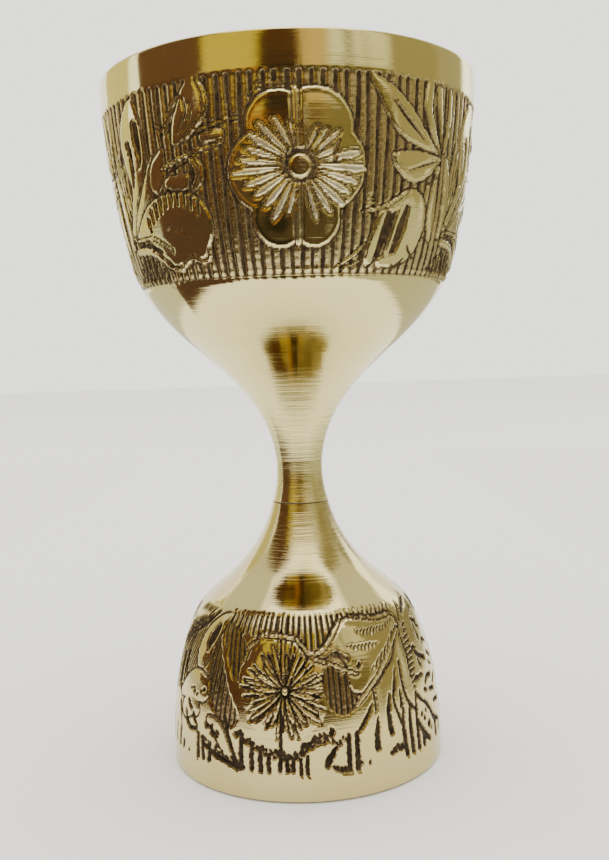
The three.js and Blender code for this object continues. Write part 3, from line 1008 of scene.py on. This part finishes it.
def engrave(half, outside, span, engraver, rings):
    mesh = half.data
    count = len(mesh.vertices)
    spots = np.empty(count * 3)
    mesh.vertices.foreach_get("co", spots)
    spots = spots.reshape(count, 3) / MM
    radii = np.hypot(spots[:, 0], spots[:, 1])
    heights = spots[:, 2]
    angles = np.degrees(np.arctan2(spots[:, 0], -spots[:, 1]))
    low, high = span
    skin = (radii > outside(heights) - 0.5 * wall) & (heights > low) & (heights < high)
    level = np.zeros(count)
    stain = np.zeros(count)
    level[skin], stain[skin] = engraver(angles[skin], heights[skin])
    level[skin] += turning_rings(heights[skin], rings)
    level = np.maximum(level, -deepest_cut)
    stain += seam_stain * step_down(np.abs(heights - seam[1]) - 0.1, 0.06)
    true_radius = np.where(skin, outside(heights) + level, radii)
    spots[:, 0] = true_radius * np.sin(np.radians(angles))
    spots[:, 1] = -true_radius * np.cos(np.radians(angles))
    mesh.vertices.foreach_set("co", (spots * MM).ravel())
    lacquer = mesh.attributes.new("lacquer", "FLOAT", "POINT")
    lacquer.data.foreach_set("value", stain.astype(np.float32))
    mesh.update()
    print(half.name, "is cut", round(-level.min(), 2), "mm deep and raised", round(level.max(), 2), "mm")


# %% The large cup
def blind_hole(mouth, direction, radius=2.2, depth=6.6, drill_point=1.2):
    bottom = mouth + direction * depth
    return [(0, bottom + direction * drill_point), (radius, bottom), (radius, mouth)]


band_rows = 26
low, high = upper_band
upper_heights = ([seam[1] + half_gap + 0.04] + rows(seam[1] + half_gap + 0.1, seam[1] + 0.4, 0.13)
                 + rows(seam[1] + 0.4, 58.4, 0.6) + rows(58.4, low, 0.75)
                 + rows(low, high, (high - low) / band_rows) + rows(high, height - lip, 0.6))
inner_rim = rim_radius - wall
inner_shoulder = shoulder[0] - wall - 0.1
upper_outline = (
    blind_hole(seam[1] + half_gap, 1)
    + [(seam[0] - 0.3, seam[1] + half_gap), (seam[0] - 0.04, seam[1] + half_gap)]
    + [(float(upper_radius(z)), z) for z in upper_heights]
    + lip_round(rim_radius - lip, height - lip, 0)
    + lip_round(inner_rim + lip, height - lip, 1)
    + stretch(12, (inner_rim, height - lip), (inner_rim, 94.4), (24.7, 81.2), (inner_shoulder, 76))[1:]
    + stretch(8, (inner_shoulder, 76), (21.1, 71.5), (18, 69), (13, 65))
    + stretch(8, (13, 65), (10.5, 63), (7, cup_floor), (0, cup_floor))
    + [(0, cup_floor)]
)
upper_cup = turned_half("engraved_upper_cup", upper_outline, 180, upper_band, upper_radius)
stem_rings = [(58.2, 0.12, 0.1), (57.0, 0.1, 0.03), (55.6, 0.1, 0.04), (54.2, 0.1, 0.03),
              (46.9, 0.09, 0.06), (46.4, 0.09, 0.05), (43.6, 0.09, 0.06), (43.1, 0.09, 0.05)]
engrave(upper_cup, upper_radius, (seam[1] + 0.3, height - lip - 0.1), engrave_upper, stem_rings)

# %% The small cup
low, high = lower_band
lower_heights = (rows(lip, low, 0.7) + rows(low, high, (high - low) / band_rows)
                 + rows(high, seam[1] - 0.4, 0.55) + rows(seam[1] - 0.4, seam[1] - half_gap - 0.1, 0.13)
                 + [seam[1] - half_gap - 0.1, seam[1] - half_gap - 0.04])
inner_foot = foot_radius - wall
inner_bell = bell_shoulder[0] - wall - 0.3
lower_outline = (
    stretch(8, (0, bell_ceiling), (5, bell_ceiling), (9, 28.3), (11.9, 26))
    + stretch(6, (11.9, 26), (14, 24.3), (15, 23.3), (inner_bell, 21.5))
    + stretch(10, (inner_bell, 21.5), (18.4, 15.5), (inner_foot, 9.7), (inner_foot, lip))
    + lip_round(inner_foot + lip, lip, 2)
    + lip_round(foot_radius - lip, lip, 3)
    + [(float(lower_radius(z)), z) for z in lower_heights[1:]]
    + [(seam[0] - 0.04, seam[1] - half_gap), (seam[0] - 0.3, seam[1] - half_gap)]
    + blind_hole(seam[1] - half_gap, -1)[::-1]
)
lower_cup = turned_half("engraved_lower_cup", lower_outline, 184, lower_band, lower_radius)
dome_rings = [(39.2, 0.09, 0.06), (38.6, 0.09, 0.05), (36.8, 0.1, 0.03), (34.9, 0.1, 0.04),
              (30.2, 0.1, 0.03)]
engrave(lower_cup, lower_radius, (lip + 0.1, seam[1] - 0.3), engrave_lower, dome_rings)

# %% [markdown]
# ## Brass and lacquer
#
# Polished brass is a plain mirror with a pale yellow tint, so its life comes from small faults: rings
# from the lathe, a little cloudiness, hairline scratches and handling marks. The lacquer sits where the
# graver went deep, and its edge is ragged because it was wiped off by hand. A thin film of it dulls the
# flutes. The flowers' petals, their beaded stems and some flutes on the bell are cut once more at the
# end, through the lacquer, and their colour is mixed toward pale cream: a painted sheen for the light
# that these bright facets catch. All of it could be painted, but noise that is measured in the metal
# itself has no seam and no end to its detail. One function makes the brass of both cups, and the small
# cup's brass is darker: painted shade, for the dimmer light near the floor.

# %% Shader sums as ordinary expressions
class Sum:
    """A socket that can be added, multiplied and subtracted like a number."""

    def __init__(self, tree, socket):
        self.tree, self.socket = tree, socket

    def node(self, kind, settings=None, **inputs):
        made = self.tree.nodes.new(kind)
        for name, value in (settings or {}).items():
            setattr(made, name, value)
        for name, value in inputs.items():
            target = made.inputs[int(name[1:]) if name[0] == "_" else name.replace("_", " ")]
            if isinstance(value, Sum):
                self.tree.links.new(value.socket, target)
            else:
                target.default_value = value
        return made

    def math(self, operation, *values):
        sockets = {f"_{number}": value for number, value in enumerate(values)}
        made = self.node("ShaderNodeMath", {"operation": operation}, **sockets)
        return Sum(self.tree, made.outputs[0])

    def __add__(self, other):
        return self.math("ADD", self, other)

    def __radd__(self, other):
        return self.math("ADD", other, self)

    def __sub__(self, other):
        return self.math("SUBTRACT", self, other)

    def __rsub__(self, other):
        return self.math("SUBTRACT", other, self)

    def __mul__(self, other):
        return self.math("MULTIPLY", self, other)

    def __rmul__(self, other):
        return self.math("MULTIPLY", other, self)

    def ramp(self, low, high):
        """0 below low, 1 above high, smooth between."""
        made = self.node("ShaderNodeMapRange", {"interpolation_type": "SMOOTHSTEP"}, Value=self,
                         From_Min=low, From_Max=high)
        return Sum(self.tree, made.outputs[0])

    def mix(self, first, second):
        """A colour between two, by this amount."""
        made = self.node("ShaderNodeMix", {"data_type": "RGBA"}, _0=self, _6=first, _7=second)
        return Sum(self.tree, made.outputs[2])


def start_material(name):
    finish = bpy.data.materials.new(name)
    finish.use_nodes = True
    tree = finish.node_tree
    place = tree.nodes.new("ShaderNodeTexCoord")
    return finish, tree.nodes["Principled BSDF"], Sum(tree, place.outputs["Object"])


def noise(place, scale, detail=3.0, roughness=0.5, stretch=(1, 1, 1)):
    mapped = place.node("ShaderNodeMapping", Vector=place, Scale=stretch)
    made = place.node("ShaderNodeTexNoise", Vector=Sum(place.tree, mapped.outputs[0]), Scale=scale,
                      Detail=detail, Roughness=roughness)
    return Sum(place.tree, made.outputs["Fac"])


# %% Polished brass with lacquer in its cuts
def engraved_brass(name, bright, dull, filmed, darkness):
    finish, shader, place = start_material(name)
    tree = place.tree
    left = Sum(tree, place.node("ShaderNodeAttribute", {"attribute_name": "lacquer"}).outputs["Fac"])
    ragged = noise(place, 2600, detail=4)
    lacquer = (left + (ragged - 0.5) * 0.8).ramp(0.42, 0.7)
    film = left.ramp(0.1, 0.4) * (0.55 + 0.75 * noise(place, 700, detail=4))
    cloud = noise(place, 55, detail=4)
    clean = cloud.ramp(0.35, 0.7).mix((*bright, 1), (*dull, 1))
    tinted = film.mix(clean, (*filmed, 1))
    # Below zero the lacquer attribute marks bright-cut metal: rougher and a little less metallic, and its
    # colour mixed toward pale cream as a painted sheen.
    bright_cut_sheen = (-1.0 * left).ramp(0.1, 0.8) * (0.6 + 0.6 * noise(place, 1500, detail=4))
    metal = bright_cut_sheen.mix(tinted, (0.95, 0.87, 0.62, 1))
    black = (0.05 * darkness, 0.03 * darkness, 0.012 * darkness, 1)
    brown = (0.17 * darkness, 0.105 * darkness, 0.04 * darkness, 1)
    stained = noise(place, 900, detail=3).ramp(0.3, 0.75).mix(black, brown)
    tree.links.new(lacquer.mix(metal, stained).socket, shader.inputs["Base Color"])

    rings = noise(place, 1800, detail=5, roughness=0.7, stretch=(0.004, 0.004, 1))
    scratches = noise(place, 420, detail=2, stretch=(1, 1, 0.08)).ramp(0.62, 0.7)
    smudge = noise(place, 140, detail=5).ramp(0.5, 0.8)
    roughness = 0.08 + 0.05 * smudge + 0.2 * film + 0.22 * bright_cut_sheen + 0.3 * lacquer
    tree.links.new(roughness.socket, shader.inputs["Roughness"])
    metallic = 1.0 - 0.35 * lacquer - 0.1 * bright_cut_sheen
    tree.links.new(metallic.socket, shader.inputs["Metallic"])

    height_of = place.node("ShaderNodeSeparateXYZ", Vector=place)
    up = Sum(tree, height_of.outputs["Z"])
    on_stem = up.ramp(0.029, 0.037) * (1 - up.ramp(0.057, 0.062))
    worked = left.ramp(0.05, 0.4) + bright_cut_sheen
    tooling = rings * (0.5 + 1.9 * on_stem) + 0.08 * scratches + worked * noise(place, 1900, detail=3)
    bump = place.node("ShaderNodeBump", Height=tooling, Distance=0.00008, Strength=0.6)
    tree.links.new(bump.outputs["Normal"], shader.inputs["Normal"])
    return finish


upper_brass = engraved_brass(
    "engraved_brass_upper", bright=(0.79, 0.70, 0.34), dull=(0.74, 0.64, 0.28),
    filmed=(0.50, 0.39, 0.19), darkness=0.62)
# The small cup's bright and dull brass are darker than the large cup's: painted shade, for the dimmer light
# near the floor.
lower_brass = engraved_brass(
    "engraved_brass_lower_painted_shade", bright=(0.64, 0.54, 0.25), dull=(0.58, 0.48, 0.20),
    filmed=(0.21, 0.14, 0.07), darkness=0.35)
upper_cup.data.materials.append(upper_brass)
lower_cup.data.materials.append(lower_brass)
print("the large cup is", upper_brass.name, "and the small cup is", lower_brass.name)


# %% [markdown]
# ## The stud
#
# A short steel screw holds the two halves together, and nobody sees it until they are unscrewed. It
# keeps its own solid, on which plain rings stand for the thread, and needs only a finish: grey metal
# with the fine streaks that a lathe leaves.

# %% Turned steel for the stud
def turned_steel(name):
    finish, shader, place = start_material(name)
    tree = place.tree
    streaks = noise(place, 2200, detail=4, stretch=(0.05, 0.05, 1))
    grey = streaks.ramp(0.3, 0.7).mix((0.42, 0.42, 0.41, 1), (0.60, 0.60, 0.58, 1))
    tree.links.new(grey.socket, shader.inputs["Base Color"])
    tree.links.new((0.28 + 0.2 * streaks).socket, shader.inputs["Roughness"])
    shader.inputs["Metallic"].default_value = 1.0
    bump = place.node("ShaderNodeBump", Height=streaks, Distance=0.00003, Strength=0.4)
    tree.links.new(bump.outputs["Normal"], shader.inputs["Normal"])
    return finish


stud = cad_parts["joining_stud"]
stud_steel = turned_steel("turned_steel")
for slot in stud.material_slots:
    slot.material = stud_steel
print("the stud is", stud_steel.name)

# %% [markdown]
# ## Tying the pieces to the frame
#
# Both halves ride on the one body, and each stands for the plain turned solid, which is hidden. Both
# halves ride on the one body, each stands for the plain turned solid that the tests used. The stud
# keeps its own solid, hidden in the waist.

# %% Ride and replace
for piece, node, finish in (
        (upper_cup, "upper_cup", "upper_brass"),
        (lower_cup, "lower_cup", "lower_brass")):
    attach(piece, "root")
    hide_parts(node)

bpy.context.view_layer.update()
print("cad box", cad_box)
